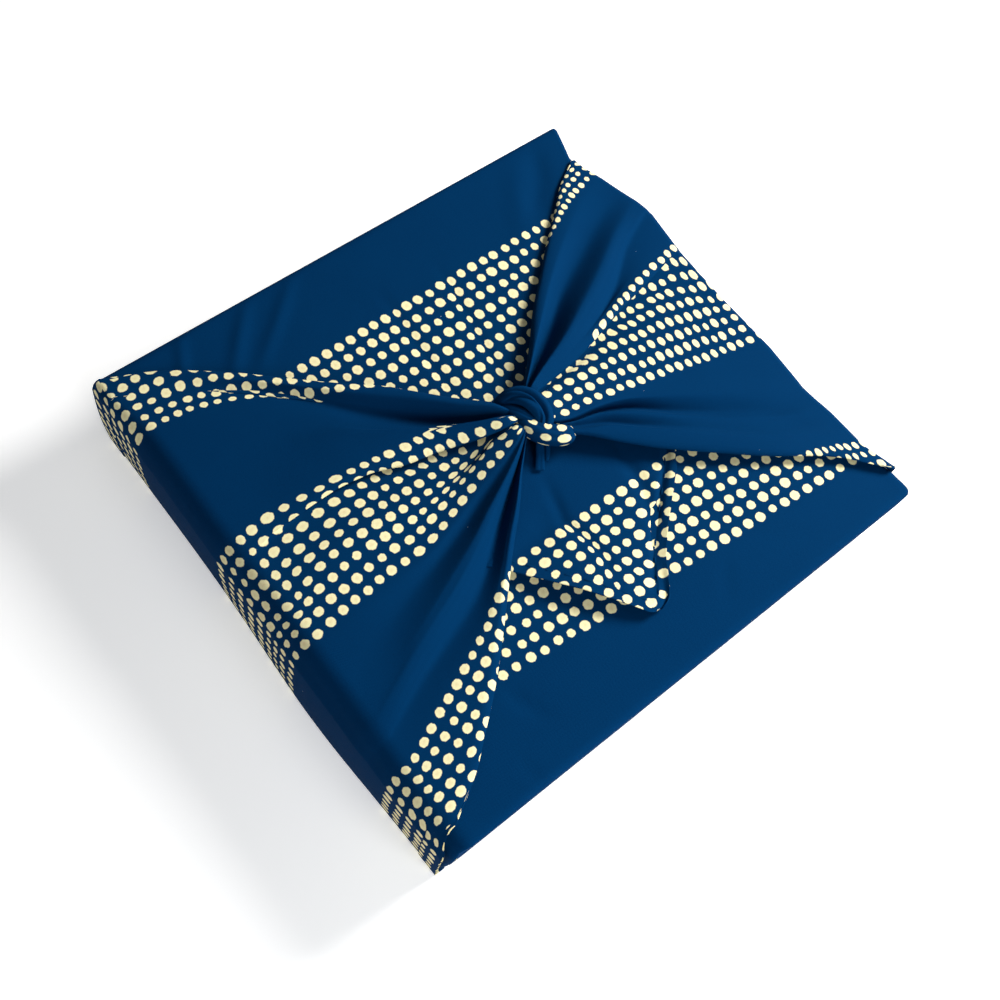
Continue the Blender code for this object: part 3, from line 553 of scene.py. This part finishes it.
GATHER_REST = FLAP_TOP + 0.0006
CLOTH_AT_WALL = 0.1140          # from the middle of the cloth to the foot of an X wall
OUTER_BAND = 0.098              # middle of the outer bands' part that lies in the folds
LEAST_GIVE, MOST_GIVE = 0.82, 1.22
TINY = 1e-12
LEFT_X = (-117.0, -95.0, -73.0, -57.0, -42.0, -30.0, -20.0, -10.0, -2.0, 5.0)
LEFT_FOLDS = (
    # lower folded edge, turned under, and the strip along it
    ((-95.5, -85.2, -70.0, -56.5, -43.0, -32.4, -24.0, -14.6, -7.9, -1.6),
     (0.1, 0.1, 0.1, 0.1, 0.1, 0.1, 0.4, 1.4, 2.6, 1.6),
     (-129.5, -121, -110, -102, -94, -87.5, -82.5, -77.5, -73, -73)),
    ((-101.2, -91.2, -75.0, -60.5, -46.0, -34.5, -25.5, -15.6, -8.2, -1.7),
     (0.1, 0.1, 0.1, 0.1, 0.2, 0.4, 1.0, 2.2, 3.4, 2.0),
     (-120.5, -115, -105, -97.7, -90.6, -85, -80.5, -76, -72, -72)),
    ((-103.8, -94.2, -78.0, -63.4, -48.6, -36.8, -27.6, -16.8, -8.8, -1.9),
     (0.4, 0.8, 1.1, 1.5, 2.0, 2.7, 3.5, 4.7, 5.9, 3.5),
     (-117, -111.3, -101.5, -94.2, -87.1, -81.5, -77, -72.5, -69, -69)),
    ((-99.4, -89.4, -73.6, -59.6, -45.8, -34.4, -25.6, -15.6, -8.3, -1.7),
     (0.8, 1.8, 2.6, 3.2, 4.0, 4.9, 6.0, 7.4, 8.6, 5.2),
     (-111.5, -104.6, -97, -90.4, -84.2, -78, -73.4, -69.3, -66.2, -66.2)),
    ((-78.7, -71.6, -63.0, -55.2, -43.6, -32.6, -24.0, -14.9, -7.9, -1.6),
     (0.6, 1.5, 2.3, 2.9, 3.5, 4.2, 5.2, 6.8, 8.2, 4.9),
     (-85.8, -85.8, -85.8, -85.8, -82, -76, -71.6, -68, -65.2, -65.2)),
    # valley, which runs on under the sharp fold beside it
    ((-68.0, -60.5, -52.5, -46.4, -37.4, -28.2, -20.8, -13.6, -7.5, -1.5),
     (0.3, 0.3, 0.3, 0.3, 0.3, 0.5, 1.6, 4.4, 7.0, 4.2),
     (-74.5, -74, -73.5, -74.2, -74.1, -71.5, -68.5, -66, -64, -64)),
    ((-65.5, -57.5, -49.0, -42.6, -34.4, -26.4, -19.8, -13.2, -7.4, -1.5),
     (0.5, 0.9, 1.5, 1.7, 1.8, 2.4, 3.6, 6.0, 8.2, 4.9),
     (-71, -68, -66, -67, -67, -66, -65, -64, -62.5, -62.5)),
    ((-62.5, -54.6, -45.6, -39.2, -31.8, -24.7, -18.7, -12.8, -7.1, -1.4),
     (0.7, 1.6, 2.9, 3.8, 4.6, 5.6, 7.0, 8.6, 9.8, 5.9),
     (-67, -63, -60, -60.5, -61, -60.5, -60, -60, -60, -60)),
    ((-59.5, -52.0, -43.0, -36.8, -29.7, -23.0, -17.6, -12.1, -6.8, -1.3),
     (0.8, 1.9, 3.6, 4.9, 6.0, 7.1, 8.4, 9.6, 10.5, 6.3),
     (-63, -59, -55.5, -55.5, -55.5, -55, -55.5, -56.5, -58, -58)),
    ((-56.0, -49.0, -40.5, -34.0, -27.6, -21.4, -16.6, -11.4, -6.6, -1.2),
     (0.6, 1.5, 3.5, 4.9, 6.3, 7.5, 8.8, 9.9, 10.8, 6.5),
     (-60, -56, -51.5, -50.5, -50, -49.8, -51, -53.5, -56, -56)),
    # shallow valley, then the dotted slope down to the tuck
    ((-44.0, -37.0, -29.5, -25.2, -20.6, -16.2, -12.8, -9.2, -5.8, -1.0),
     (0.4, 0.6, 0.9, 1.5, 2.8, 4.4, 6.6, 8.8, 10.4, 6.2),
     (-46, -41.5, -37.5, -35.5, -35.5, -36.5, -39, -43, -47, -47)),
    ((-24.9, -22.9, -21.3, -20.3, -16.4, -12.7, -9.7, -7.5, -4.9, -0.8),
     (0.6, 1.3, 2.0, 2.7, 3.9, 5.3, 7.2, 9.2, 10.6, 6.4),
     (-27.3,) * 10),
    ((-16.2, -13.8, -12.3, -12.1, -9.1, -5.6, -2.9, -0.4, -1.0, 0.3),
     (0.6, 1.5, 2.2, 2.6, 3.4, 4.5, 6.2, 7.8, 9.6, 5.8),
     (-18.15,) * 10),
    ((-7.2, -2.0, -0.2, -1.1, -1.4, -1.3, -0.8, 0.5, -0.4, 0.5),
     (0.8, 1.9, 2.7, 3.0, 3.0, 3.2, 4.2, 6.8, 9.0, 5.4),
     (-6.05, -6.05, -6.05, -6.05, -6.05, -6.6, -9.8, -14.8, -17.6, -17.6)),
    ((5.2, 8.8, 10.9, 10.7, 9.0, 6.0, 2.6, 1.2, 0.0, 0.6),
     (0.6, 1.2, 1.5, 1.3, 1.0, 1.2, 2.7, 5.8, 8.4, 5.0),
     (6.05, 6.05, 6.05, 6.05, 4.8, 2.4, -3.0, -11.5, -17.2, -17.2)),
    ((14.5, 17.7, 19.2, 17.5, 11.9, 9.0, 5.3, 1.8, 0.2, 0.7),
     (0.5, 0.5, 0.5, 0.4, 0.4, 0.7, 2.0, 5.0, 8.0, 4.8),
     (15.2, 15.0, 14.3, 13.6, 8.1, 5.6, -0.4, -10.2, -16.9, -16.9)),
    ((15.5, 18.4, 20.6, 20.6, 17.4, 14.6, 10.8, 6.4, 3.2, 1.5),
     (0.5, 0.5, 0.4, 0.3, 0.3, 0.6, 1.8, 4.6, 7.8, 4.7),
     (16.2, 15.8, 15.6, 16.2, 13.4, 11.4, 7.0, -4.0, -12.8, -12.8)),
    ((16.9, 19.7, 21.2, 19.5, 13.8, 10.6, 6.7, 3.0, 0.9, 0.9),
     (0.5, 0.8, 1.1, 1.4, 1.6, 2.2, 3.6, 6.4, 8.6, 5.2),
     (17.2, 16.6, 16.6, 17.0, 16.4, 16.0, 15, 14.6, 13.5, 13.5)),
    ((17.8, 19.6, 19.9, 17.9, 12.4, 9.6, 6.0, 2.4, 0.6, 0.8),
     (0.6, 1.3, 2.3, 2.9, 3.5, 4.3, 5.7, 7.9, 9.7, 5.8),
     (18.6, 17.9, 17.8, 18.3, 17.5, 17.0, 16.4, 15.8, 14.6, 14.6)),
    # round ridge over the tuck
    ((24.0, 25.5, 23.6, 21.2, 18.6, 15.9, 12.2, 7.2, 3.0, 1.4),
     (0.7, 1.4, 3.1, 4.5, 5.6, 6.8, 8.2, 9.8, 10.9, 6.5),
     (24.2, 24.2, 24.2, 24.2, 24.2, 23.7, 21.8, 20.6, 19.4, 19.4)),
    ((50.0, 47.0, 43.0, 37.0, 28.0, 20.4, 14.0, 8.4, 4.6, 1.9),
     (0.4, 0.9, 2.2, 4.2, 6.2, 7.4, 8.8, 10.2, 11.0, 6.6),
     (50, 46.5, 44, 41, 35, 29.0, 23.0, 21.8, 20.5, 20.5)),
    ((62.0, 58.0, 53.0, 45.0, 31.0, 21.5, 14.4, 8.6, 4.7, 2.0),
     (0.4, 0.9, 1.5, 2.3, 3.4, 4.4, 5.8, 7.6, 9.0, 5.4),
     (62, 57, 54, 49, 41, 34.5, 30, 28, 26, 26)),
    # deep trough, round upper roll, and its folded edge, turned under
    ((98.0, 88.0, 74.9, 59.8, 41.0, 28.6, 19.4, 11.6, 6.4, 2.4),
     (0.3, 0.5, 0.4, 0.2, 0.1, 0.4, 1.6, 4.2, 7.0, 4.2),
     (104, 95, 89.7, 83.4, 72, 62, 54.5, 48, 41, 41)),
    ((100.4, 92.0, 77.4, 62.6, 45.6, 33.0, 23.0, 13.8, 7.8, 2.8),
     (0.4, 0.9, 1.4, 1.7, 2.3, 3.2, 4.6, 6.8, 8.8, 5.3),
     (107.3, 98.6, 92.2, 86.3, 77.5, 68.5, 61, 55, 48, 48)),
    ((103.0, 96.5, 80.5, 65.4, 50.9, 39.3, 28.6, 17.6, 10.2, 3.5),
     (0.6, 1.6, 2.9, 3.9, 5.0, 6.2, 7.8, 9.4, 10.6, 6.4),
     (111, 103, 95.8, 89.6, 84.0, 77.5, 73, 67, 62, 62)),
    ((109.0, 100.7, 84.3, 69.3, 55.4, 45.0, 33.5, 21.8, 13.0, 4.2),
     (0.6, 1.3, 2.4, 3.2, 4.1, 4.8, 6.0, 7.6, 9.2, 5.5),
     (117, 107.5, 99.6, 93.4, 88.8, 86, 81.5, 76, 69.5, 69.5)),
    ((111.5, 101.7, 85.3, 70.1, 56.2, 46.1, 34.5, 22.7, 13.7, 4.4),
     (0.3, 0.5, 0.9, 1.3, 1.9, 2.4, 3.6, 5.4, 7.2, 4.3),
     (119, 109, 101.5, 95.7, 91.1, 88.8, 84.3, 78.5, 71.7, 71.7)),
    ((108.5, 98.7, 82.3, 67.0, 53.4, 43.1, 32.0, 21.0, 12.7, 4.2),
     (0.1, 0.1, 0.2, 0.3, 0.5, 0.8, 2.0, 3.6, 5.2, 3.1),
     (122, 112.5, 105, 99.3, 94.8, 92.5, 87.6, 81, 73.7, 73.7)),
    ((101.0, 91.0, 74.0, 59.3, 45.8, 36.0, 27.0, 17.6, 10.7, 3.6),
     (0.1, 0.1, 0.1, 0.1, 0.2, 0.4, 1.3, 2.9, 4.2, 2.5),
     (130, 120, 113.5, 107, 102.5, 99.5, 92.6, 84.5, 75.7, 75.7)),
)
RIGHT_X = (116.0, 98.0, 78.0, 58.0, 42.0, 30.0, 21.0, 14.0, 8.0)
RIGHT_FOLDS = (
    # lower folded edge, turned under
    ((-92.0, -73.0, -60.0, -45.0, -33.0, -23.4, -16.0, -12.0, -5.4),
     (0.1, 0.1, 0.2, 0.5, 1.2, 2.2, 3.2, 4.2, 3.1),
     (-111, -99, -91, -83, -77, -73, -71, -70, -70)),
    ((-98.0, -79.5, -66.0, -50.6, -37.8, -26.8, -18.0, -12.8, -5.8),
     (0.2, 0.4, 0.8, 1.6, 2.6, 3.6, 4.6, 5.6, 4.1),
     (-105, -93, -85, -77, -71, -67, -65, -65, -65)),
    ((-101.0, -82.5, -68.9, -53.3, -40.2, -28.8, -19.4, -13.6, -6.1),
     (0.8, 1.6, 2.6, 3.8, 4.8, 5.8, 6.6, 7.2, 5.3),
     (-102, -90, -82, -74, -68, -64, -62, -61, -61)),
    ((-96.0, -79.0, -66.0, -50.2, -37.2, -26.0, -18.2, -13.0, -5.9),
     (0.9, 2.4, 4.0, 5.4, 6.4, 7.2, 7.8, 8.2, 6.1),
     (-97, -86, -78, -71, -65, -61, -59, -58, -58)),
    ((-82.0, -71.0, -59.1, -44.2, -31.0, -21.4, -16.8, -12.1, -5.4),
     (0.8, 2.4, 4.2, 6.0, 7.0, 7.6, 8.0, 8.4, 6.2),
     (-83, -77, -70, -65, -59, -56, -55, -54, -54)),
    # short valley
    ((-68.0, -63.5, -54.0, -38.8, -26.6, -17.6, -13.8, -10.7, -4.8),
     (0.6, 1.5, 2.8, 4.0, 3.7, 4.4, 5.8, 7.4, 5.5),
     (-69, -68, -65, -59, -53, -49, -48, -48, -48)),
    # thin ridge
    ((-64.0, -59.0, -48.6, -33.8, -21.4, -14.4, -12.2, -9.8, -4.4),
     (0.6, 1.6, 3.0, 4.6, 6.2, 7.0, 7.8, 8.8, 6.5),
     (-65, -63, -59, -53, -46, -43, -42, -42, -42)),
    ((-58.5, -54.0, -42.4, -28.0, -16.2, -12.2, -11.0, -8.8, -4.0),
     (0.4, 0.6, 0.6, 0.7, 1.5, 3.4, 5.2, 7.0, 5.2),
     (-59, -57, -51, -44, -36, -34, -34, -34, -34)),
    # broad ridge, with the dotted slope down to the tuck
    ((-48.0, -43.4, -33.0, -21.8, -14.4, -11.5, -10.4, -8.2, -3.7),
     (0.6, 1.8, 3.2, 4.6, 6.0, 7.2, 8.2, 9.0, 6.7),
     (-49, -46, -41, -36, -31.2, -30, -29.8, -29.6, -29.6)),
    ((-26.2, -23.8, -19.4, -15.2, -12.2, -10.4, -9.5, -7.4, -3.3),
     (0.5, 1.2, 2.4, 4.2, 6.2, 7.5, 8.4, 9.2, 6.8),
     (-27.3,) * 9),
    ((-11.2, -7.0, -2.5, 0.6, 2.2, 3.3, 3.4, 1.8, 0.8),
     (0.6, 1.5, 2.8, 4.2, 5.6, 6.8, 7.8, 8.8, 6.5),
     (-12.1,) * 9),
    ((0.3, 7.2, 11.2, 9.6, 7.8, 6.6, 5.8, 4.4, 2.0),
     (0.5, 1.2, 1.9, 2.6, 3.8, 5.4, 6.8, 8.2, 6.1),
     (0, 0, 0, -3.8, -6.6, -8.6, -10, -10.4, -10.4)),
    ((27.1, 23.8, 19.6, 14.4, 10.4, 8.5, 7.2, 5.6, 2.5),
     (0.4, 0.6, 0.8, 1.2, 2.4, 4.0, 5.6, 7.2, 5.3),
     (21, 15.4, 9.2, 0.4, -4.2, -6.4, -8.6, -9.4, -9.4)),
    ((28.0, 26.4, 24.8, 21.4, 16.6, 13.4, 11.0, 8.0, 3.6),
     (0.4, 0.5, 0.6, 0.8, 1.8, 3.4, 5.0, 6.8, 5.0),
     (21.5, 17.9, 14.2, 7.0, 1.6, -1.8, -5.2, -7.2, -7.2)),
    # thin ridge over the tuck, which dies out under the main ridge
    ((28.6, 24.4, 20.2, 14.9, 10.8, 8.8, 7.5, 5.9, 2.7),
     (0.5, 1.1, 1.7, 2.2, 3.4, 5.0, 6.4, 7.8, 5.8),
     (22, 20.8, 21, 21.8, 29, 30, 31, 31, 31)),
    ((31.0, 27.4, 22.8, 16.9, 12.3, 10.0, 8.4, 6.4, 2.9),
     (0.8, 2.2, 3.6, 4.2, 5.4, 6.8, 7.8, 8.8, 6.5),
     (24.2, 24.2, 24.2, 24.4, 31, 32, 33, 33, 33)),
    ((33.8, 30.6, 25.4, 18.4, 13.4, 10.8, 8.8, 6.7, 3.0),
     (0.8, 1.9, 2.8, 4.3, 6.2, 7.4, 8.2, 9.0, 6.7),
     (28, 28.3, 28, 28, 34, 35, 36, 36, 36)),
    # valley, main ridge, deep valley
    ((50.5, 42.0, 28.4, 19.4, 14.3, 11.4, 9.2, 6.9, 3.1),
     (0.3, 0.5, 1.3, 4.1, 6.6, 7.8, 8.5, 9.2, 6.8),
     (45, 41, 33, 30, 36, 37, 38, 38, 38)),
    ((53.5, 45.6, 33.0, 23.6, 17.0, 13.2, 10.4, 7.7, 3.5),
     (0.8, 2.1, 4.0, 6.2, 7.9, 8.8, 9.3, 9.8, 7.3),
     (49, 46, 39, 36, 41, 42, 43, 43, 43)),
    ((58.5, 50.2, 38.4, 27.8, 19.9, 15.2, 11.8, 8.5, 3.8),
     (0.9, 3.2, 5.6, 7.4, 8.8, 9.5, 10.0, 10.3, 7.6),
     (55, 52, 48, 45, 49, 49, 49, 49, 49)),
    ((67.0, 60.5, 50.5, 39.6, 28.3, 20.4, 14.4, 9.7, 4.4),
     (0.3, 0.3, 0.3, 0.2, 0.6, 2.0, 4.0, 6.6, 4.9),
     (66, 66, 65, 64, 62, 61, 60, 60, 60)),
    # roll of the upper edge, turned under
    ((80.0, 73.0, 61.5, 47.2, 34.0, 24.0, 16.6, 10.9, 4.9),
     (0.6, 2.0, 3.2, 4.4, 5.8, 6.8, 7.6, 8.3, 6.1),
     (83.5, 81.5, 77, 72, 69, 67, 66, 66, 66)),
    ((89.0, 81.8, 68.2, 52.0, 38.2, 26.4, 18.0, 11.7, 5.3),
     (0.7, 1.7, 2.6, 3.5, 4.5, 5.3, 5.9, 6.5, 4.8),
     (98, 93, 86, 78, 74, 71, 69, 68, 68)),
    ((92.1, 84.3, 70.0, 53.2, 39.3, 27.2, 18.6, 12.1, 5.4),
     (0.3, 0.6, 1.0, 1.5, 2.2, 3.0, 3.8, 4.8, 3.6),
     (105, 99, 91, 81, 77, 74, 71, 70, 70)),
    ((89.0, 81.4, 67.2, 50.6, 36.8, 25.2, 17.4, 11.5, 5.2),
     (0.1, 0.1, 0.2, 0.4, 0.8, 1.6, 2.4, 3.4, 2.5),
     (108, 102, 94, 85, 81, 77, 74, 73, 73)),
    ((81.0, 74.0, 60.0, 44.0, 31.0, 21.4, 14.8, 10.0, 4.5),
     (0.1, 0.1, 0.1, 0.1, 0.4, 1.0, 1.8, 2.8, 2.1),
     (116, 110, 102, 92, 87, 83, 79, 76, 76)),
)
# the slack cloth near the +X wall is pushed together along the tie; x and cloth for each mm
RIGHT_SPARE = ((0.0, 0.94), (30.0, 0.98), (40.0, 1.08), (52.0, 1.20), (74.0, 1.30),
               (86.0, 1.34), (95.0, 1.46), (103.0, 1.30), (112.0, 1.15), (120.0, 1.0))


def print_along(place, flat_v, top_row, spare, band_middle):
    """How far along the cloth each crossing lies from the wall, so that dots stay square."""
    across = place.shape[1]
    # the way each row of dots runs, and how far along it one fold line is from the next
    run, cross = np.gradient(place, axis=0), np.gradient(place, axis=1)
    v_run, v_cross = np.gradient(flat_v, axis=0), np.gradient(flat_v, axis=1)
    row_way = run * v_cross[..., None] - cross * v_run[..., None]
    row_way /= np.linalg.norm(row_way, axis=2)[..., None] + TINY
    run /= np.linalg.norm(run, axis=2)[..., None] + TINY
    lies_open = np.clip(v_cross / (np.linalg.norm(cross, axis=2) + TINY) * 2 - 0.4, 0, 1)
    row_way = row_way * lies_open[..., None] + run * (1 - lies_open[..., None])
    row_way /= np.linalg.norm(row_way, axis=2)[..., None] + TINY
    ahead = np.sum(np.diff(place, axis=1) * (row_way[:, 1:] + row_way[:, :-1]) / 2, axis=2)
    ahead = np.concatenate([np.zeros((len(place), 1)), np.cumsum(ahead, axis=1)], axis=1)
    calm = np.concatenate([ahead[:1]] * 5 + [ahead] + [ahead[-1:]] * 5)
    ahead = sum(calm[k:k + len(ahead)] for k in range(11)) / 11
    for k in range(top_row):
        ahead[k] = ahead[top_row] * k / top_row
    # each band is measured along its own middle row
    spare_x, spare_cloth = np.array(spare).T
    columns = np.arange(across)
    flat_u, shares = np.zeros_like(flat_v), np.full_like(flat_v, 1e-9)
    for middle in (-OUTER_BAND, band_middle * MM, OUTER_BAND):
        line = [np.interp(middle, np.maximum.accumulate(row) + columns * 1e-9, columns)
                for row in flat_v]
        path = np.array([[np.interp(at, columns, place[k, :, axis]) for axis in range(3)]
                         for k, at in enumerate(line)])
        here = np.array([np.interp(at, columns, ahead[k]) for k, at in enumerate(line)])
        ease = np.interp(np.abs(path[1:, 0]), spare_x * MM, spare_cloth)
        way = np.concatenate([[0], np.cumsum(np.linalg.norm(np.diff(path, axis=0), axis=1) * ease)])
        share = np.clip((0.067 - np.abs(flat_v - middle)) / 0.035, 0, 1)
        flat_u += share * (way[:, None] + ahead - here[:, None])
        shares += share
    flat_u /= shares
    # along every fold the cloth is neither stretched nor squeezed by much
    length = np.linalg.norm(np.diff(place, axis=0), axis=2)
    length = np.sqrt(np.maximum(length**2 - np.diff(flat_v, axis=0) ** 2, (length * 0.3) ** 2))
    length *= np.interp(np.abs(place[1:, :, 0]), spare_x * MM, spare_cloth)
    grown = np.clip(np.diff(flat_u, axis=0), LEAST_GIVE * length, MOST_GIVE * length)
    return np.concatenate([flat_u[:top_row],
                           flat_u[top_row - 1] + np.cumsum(grown[top_row - 1:], axis=0)])


def tied_corner(name, side, stations, folds, spare, band_middle, across=300, along=130):
    """One corner of the cloth: up its wall, over the edge, and in folds to the knot."""
    stations = np.array(stations) * MM * side
    order = np.argsort(-stations)
    lines = np.arange(len(folds), dtype=float)
    columns = np.linspace(0, lines[-1], across)
    begin, end = stations.max(), stations.min()
    where = begin + (end - begin) * np.linspace(0, 1, along) ** 0.9
    grids = []
    for k in range(3):
        values = np.array([fold[k] for fold in folds], float).T[order] * MM
        run = smooth_through(-stations[order], values, -where)
        grids.append(smooth_through(lines, run.T, columns).T)
    y, z, v = grids
    top_x = np.repeat(where[:, None], across, axis=1)
    edge = RIGHT_EDGE if side > 0 else LEFT_EDGE
    wall_x = np.interp(y[0], edge[:, 0], edge[:, 1]) + 0.0004
    # the first rows of the top follow the drawn-in edge
    turn_round = left_edge_round(y[0]) if side < 0 else CORNER_ROUND
    near = np.clip((begin - top_x) / 0.035, 0, 1)
    top_x = top_x + (wall_x - turn_round - begin) * (1 - near) ** 1.5
    # the lower hem runs on towards the corner as it goes over the edge
    past_corner = 0.0058 * np.clip((-y[0] - 0.070) / 0.034, 0, 1) if side < 0 else 0 * y[0]
    # from under the box up the wall, and how far in from the wall each row lies
    levels = [0.0006, 0.0007, 0.0011]
    insets = [0.0040, 0.0016, 0.0006]
    for part in np.linspace(0.05, 1.0, 26):
        levels.append(part * (GATHER_REST - turn_round - 0.0004))
        insets.append(0.0)
    wave = z[4 * along // 100] - 0.0006
    places = []
    for level, inset in zip(levels, insets):
        rise = level / GATHER_REST
        reach = (LENGTH / 2 + 0.0006 + drawn_in(side, y[0], rise)
                 + 0.0009 * np.sin(rise * math.pi) + 0.45 * wave * rise**2 - inset)
        if side < 0:
            reach += 0.0030 * (1 - rise) ** 0.8 * np.exp(-((y[0] + 0.037) / 0.05) ** 2)
        spread = y[0] * (1.0 - 0.006 * (1 - rise)) - past_corner
        places.append(np.stack([side * reach, spread, level + 0 * spread], axis=1))
    # round the edge, and on over the top
    for angle in (12.0, 28.0, 44.0, 60.0, 76.0):
        turn = math.radians(angle)
        reach = wall_x - turn_round * (1 - math.cos(turn)) + 0.35 * wave
        level = GATHER_REST - turn_round * (1 - math.sin(turn)) + z[0] * turn / 1.6
        slid = past_corner * (1 - math.sin(turn))
        places.append(np.stack([side * reach, y[0] - slid, level], axis=1))
    for k in range(along):
        places.append(np.stack([side * top_x[k], y[k], GATHER_REST + z[k]], axis=1))
    place = np.array(places)
    flat_v = np.concatenate([np.repeat(v[:1], len(places) - along, axis=0), v])
    flat_u = side * (CLOTH_AT_WALL + print_along(place, flat_v, len(places) - along + 2,
                                                 spare, band_middle))
    flat = np.stack([flat_u, flat_v], axis=2)
    if side < 0:
        place, flat = place[:, ::-1], flat[:, ::-1]
    return lay_cloth(name, place, flat)


left_corner = tied_corner(
    "left_tied_corner", -1, LEFT_X, LEFT_FOLDS, spare=((0, 1), (120, 1)), band_middle=-15.0)
right_corner = tied_corner(
    "right_tied_corner", 1, RIGHT_X, RIGHT_FOLDS, spare=RIGHT_SPARE, band_middle=-10.0)

# ---- Knot --------------------------------------------------------------------------------
# The two corners are tied once, right over left.  Each end is a roll of the same cotton, pulled
# tight: one arches over the top, one comes out below it, dotted, and a short end hangs down.


def knot_roll(name, path, start_u, start_v, turn_v, creases, around=64, along=90):
    """A flattened roll of cloth along a path of x, y, height, half width and half thickness.

    The print starts at start_u and start_v and covers turn_v once round.  A crease is given by its
    place round the roll and half width (degrees), its depth (a share of the roll), its twist
    (degrees), and its middle and reach along the roll (shares of its length).
    """
    path = np.array(path, float)
    knots = np.arange(len(path), dtype=float)
    rows = smooth_through(knots, path, np.linspace(0, knots[-1], along))
    centre = rows[:, :3] * MM
    ahead = np.gradient(centre, axis=0)
    ahead /= np.linalg.norm(ahead, axis=1)[:, None]
    across = np.cross(ahead, (0, 0, 1.0))
    across /= np.linalg.norm(across, axis=1)[:, None]
    up = np.cross(across, ahead)
    angle = np.linspace(0, 2 * math.pi, around + 1)
    place = np.zeros((along, around + 1, 3))
    step = np.concatenate([[0], np.cumsum(np.linalg.norm(np.diff(centre, axis=0), axis=1))])
    for i in range(along):
        groove = np.ones_like(angle)
        share = i / (along - 1)
        for where, wide, deep, twist, middle, reach in creases:
            off = (angle - math.radians(where + twist * share) + math.pi) % (2 * math.pi)
            depth = deep * math.exp(-(((share - middle) / reach) ** 2))
            groove -= depth * np.exp(-((off - math.pi) / math.radians(wide)) ** 2)
        place[i] = (
            centre[i]
            + across[i] * (rows[i, 3] * MM * np.cos(angle) * groove)[:, None]
            + up[i] * (rows[i, 4] * MM * np.sin(angle) * groove)[:, None]
        )
    place[:, -1] = place[:, 0]
    for end in (0, -1):
        place[end] = place[end].mean(axis=0)
    flat_v = start_v + turn_v * angle / (2 * math.pi)
    flat = np.stack([
        np.repeat((start_u + step)[:, None], around + 1, axis=1),
        np.repeat(flat_v[None], along, axis=0),
    ], axis=2)
    return lay_cloth(name, place, flat, round_roll=True)


# the heart of the knot, which fills the space under the crossing
knot_heart = knot_roll("knot_heart", (
    (1.0, 7.0, 44.0, 0.8, 0.8), (3.2, 5.2, 46.4, 3.0, 2.6), (6.6, 2.4, 48.4, 5.4, 4.2),
    (10.4, -1.4, 48.8, 6.6, 4.8), (14.2, -4.6, 47.4, 5.0, 3.8),
    (16.2, -6.0, 45.2, 1.0, 1.0),
), 0.300, 0.0300, 0.034, ((70, 13, 0.16, 60, 0.35, 0.3), (140, 12, 0.12, 20, 0.5, 2.0)))
# the end that comes out below the band and shows its dots
dotted_end = knot_roll("dotted_end", (
    (1.6, 3.8, 46.0, 1.2, 1.2), (3.0, 1.2, 49.0, 2.3, 2.2), (3.8, -1.6, 50.4, 3.4, 3.0),
    (4.6, -4.4, 50.8, 4.2, 3.4), (6.2, -7.5, 50.8, 4.6, 3.6),
    (9.0, -10.6, 50.6, 4.8, 3.6), (12.6, -13.0, 50.2, 4.7, 3.4),
    (15.6, -13.8, 49.4, 3.9, 3.0), (17.4, -14.0, 48.8, 1.9, 1.8),
    (18.0, -14.0, 48.6, 0.4, 0.4),
), 0.3015, -0.0225, 0.034, (
    (40, 12, 0.12, 20, 0.7, 0.3), (120, 9, 0.14, -50, 0.55, 0.3), (150, 14, 0.12, 0, 0.5, 2.0),
))
# the turn of cloth that is seen inside the band
inner_turn = knot_roll("inner_turn", (
    (0.0, 11.4, 45.6, 1.2, 1.0), (1.9, 9.0, 49.4, 2.1, 1.6), (3.6, 5.4, 51.6, 2.4, 1.8),
    (4.8, 1.9, 52.4, 2.3, 1.8), (5.9, -1.4, 52.4, 2.0, 1.6), (6.9, -4.2, 51.2, 1.5, 1.3),
    (7.6, -6.0, 49.4, 0.6, 0.6),
), 0.300, 0.0340, 0.016, ((40, 14, 0.22, 70, 0.5, 0.3),))
# the band that arches over the top, with a deep crease
top_band = knot_roll("top_band", (
    (0.2, 13.6, 45.6, 1.4, 1.1), (3.4, 12.6, 49.6, 2.7, 1.7), (6.8, 10.8, 52.4, 3.6, 2.2),
    (9.6, 7.6, 54.0, 4.3, 2.4), (11.0, 3.6, 54.6, 4.5, 2.5), (11.4, -0.4, 54.2, 4.3, 2.5),
    (10.8, -3.8, 53.4, 3.9, 2.3), (9.2, -6.2, 52.2, 3.3, 2.0), (7.4, -7.8, 50.6, 2.3, 1.6),
    (6.6, -8.6, 48.8, 0.9, 0.8),
), 0.300, 0.0330, 0.026, (
    (118, 11, 0.86, -34, 0.52, 0.26), (30, 12, 0.40, 90, 0.36, 0.20),
    (100, 8, 0.30, -60, 0.80, 0.16), (150, 8, 0.20, 10, 0.5, 1.0),
))
# the short end that hangs down, and the narrow strip beside it
hanging_end = knot_roll("hanging_end", (
    (5.4, -8.8, 48.4, 1.4, 1.0), (3.8, -11.0, 47.2, 1.7, 0.9), (2.2, -13.4, 46.0, 1.7, 0.8),
    (0.2, -15.9, 44.9, 1.8, 0.6), (-1.3, -17.8, 44.4, 1.9, 0.4),
    (-1.6, -18.2, 44.3, 1.5, 0.2),
), 0.330, 0.0400, 0.010, ((95, 16, 0.34, 0, 0.8, 0.6),), around=32, along=40)
side_strip = knot_roll("side_strip", (
    (7.0, -11.2, 47.6, 1.0, 0.8), (5.6, -13.8, 46.4, 1.0, 0.7), (4.2, -15.4, 45.2, 0.9, 0.6),
    (3.2, -16.4, 44.6, 0.7, 0.4), (3.0, -16.7, 44.4, 0.2, 0.2),
), 0.330, 0.0500, 0.005, (), around=24, along=30)
